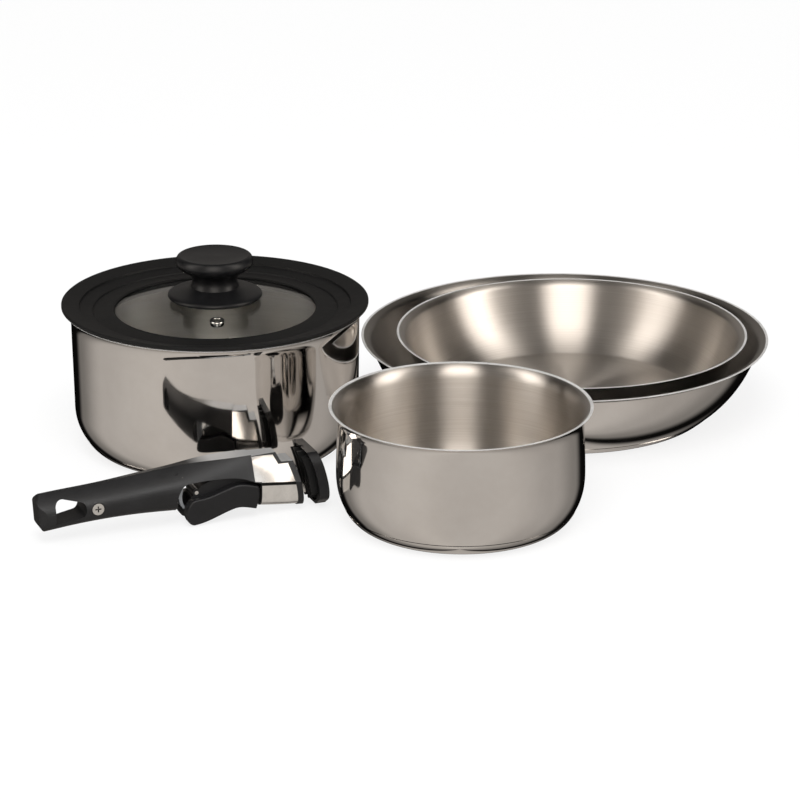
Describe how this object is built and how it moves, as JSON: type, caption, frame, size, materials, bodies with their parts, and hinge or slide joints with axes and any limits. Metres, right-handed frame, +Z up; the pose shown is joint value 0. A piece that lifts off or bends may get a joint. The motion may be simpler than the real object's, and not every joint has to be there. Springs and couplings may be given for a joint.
{
  "type": "cooking pot set",
  "caption": "Stacking stainless cookware: deep pot with stepped silicone and glass lid, saucepan, nested frying pans and a clip-on clamp handle with a lever.",
  "frame": {"origin": "centre of the large pot's foot, on the table", "axes": "+Z up, X along the row of vessels from the large pot to the pans, Y from the handle side to the pan side"},
  "size_m": [0.4929, 0.4442, 0.133],
  "materials": {
    "stainless_body": "mirror polished outside, satin brushed inside",
    "stainless_cap": "polished",
    "aluminium_core": "plain, enclosed",
    "stainless_small": "bright turned",
    "spring_steel": "plain",
    "polished_collar": "mirror polished",
    "lid_glass": "clear, slightly grey",
    "black_silicone": "matte",
    "black_phenolic": "matte, fine texture",
    "black_grip": "matte, fine spark texture",
    "black_lever": "satin moulded",
    "grey_catch": "satin moulded"
  },
  "bodies": {
    "large_pot": {"large_pot_body": "stainless_body", "large_pot_base_core": "aluminium_core", "large_pot_base_cap": "stainless_cap"},
    "lid": {"lid_glass": "lid_glass", "lid_silicone_ring": "black_silicone", "lid_vent_eyelet": "stainless_small", "lid_knob_flange": "black_phenolic", "lid_knob_grip": "black_phenolic", "lid_knob_gasket": "black_silicone", "lid_knob_washer": "stainless_small", "lid_knob_screw": "stainless_small"},
    "small_pot": {"small_pot_body": "stainless_body", "small_pot_base_core": "aluminium_core", "small_pot_base_cap": "stainless_cap"},
    "large_pan": {"large_pan_body": "stainless_body", "large_pan_base_core": "aluminium_core", "large_pan_base_cap": "stainless_cap"},
    "small_pan": {"small_pan_body": "stainless_body", "small_pan_base_core": "aluminium_core", "small_pan_base_cap": "stainless_cap"},
    "handle": {"handle_grip": "black_grip", "handle_steel_collar": "polished_collar", "handle_fixed_jaw_plate": "black_grip", "handle_tail_screw": "stainless_small", "handle_lever_pin": "stainless_small", "handle_catch_pin": "stainless_small", "handle_return_spring": "spring_steel"},
    "lever": {"handle_lever": "black_lever", "handle_drive_pin": "stainless_small", "handle_striker_pin": "stainless_small"},
    "jaw": {"handle_draw_bar": "spring_steel", "handle_bar_collar": "spring_steel", "handle_moving_jaw": "black_lever", "handle_jaw_pad": "black_silicone", "handle_jaw_screw": "stainless_small"},
    "catch": {"handle_release_catch": "grey_catch"}
  },
  "joints": [
    {"name": "lid_lift", "type": "slide", "parent": "large_pot", "child": "lid", "axis": [0, 0, 1], "range_m": [0, 0.12]},
    {"name": "small_pot_lift", "type": "slide", "parent": "large_pot", "child": "small_pot", "axis": [0, 0, 1], "range_m": [0, 0.12]},
    {"name": "large_pan_lift", "type": "slide", "parent": "large_pot", "child": "large_pan", "axis": [0, 0, 1], "range_m": [0, 0.12]},
    {"name": "small_pan_lift", "type": "slide", "parent": "large_pan", "child": "small_pan", "axis": [0, 0, 1], "range_m": [0, 0.1]},
    {"name": "handle_lift", "type": "slide", "parent": "large_pot", "child": "handle", "axis": [0, 0, 1], "range_m": [0, 0.12]},
    {"name": "lever_swing", "type": "hinge", "parent": "handle", "child": "lever", "pos_m": [0.02539, -0.13841, 0.031], "axis": [-0.3746, 0.9272, 0], "range_deg": [0, 14.5]},
    {"name": "jaw_slide", "type": "slide", "parent": "handle", "child": "jaw", "axis": [-0.9272, -0.3746, 0], "range_m": [0, 0.00494], "deforming": ["handle_return_spring"]},
    {"name": "catch_swing", "type": "hinge", "parent": "handle", "child": "catch", "pos_m": [-0.01689, -0.15549, 0.0322], "axis": [-0.3746, 0.9272, 0], "range_deg": [0, 5]}
  ],
  "couplings": [
    {"joint": "jaw_slide", "follows": "lever_swing", "m_per_rad": 0.019448}
  ]
}
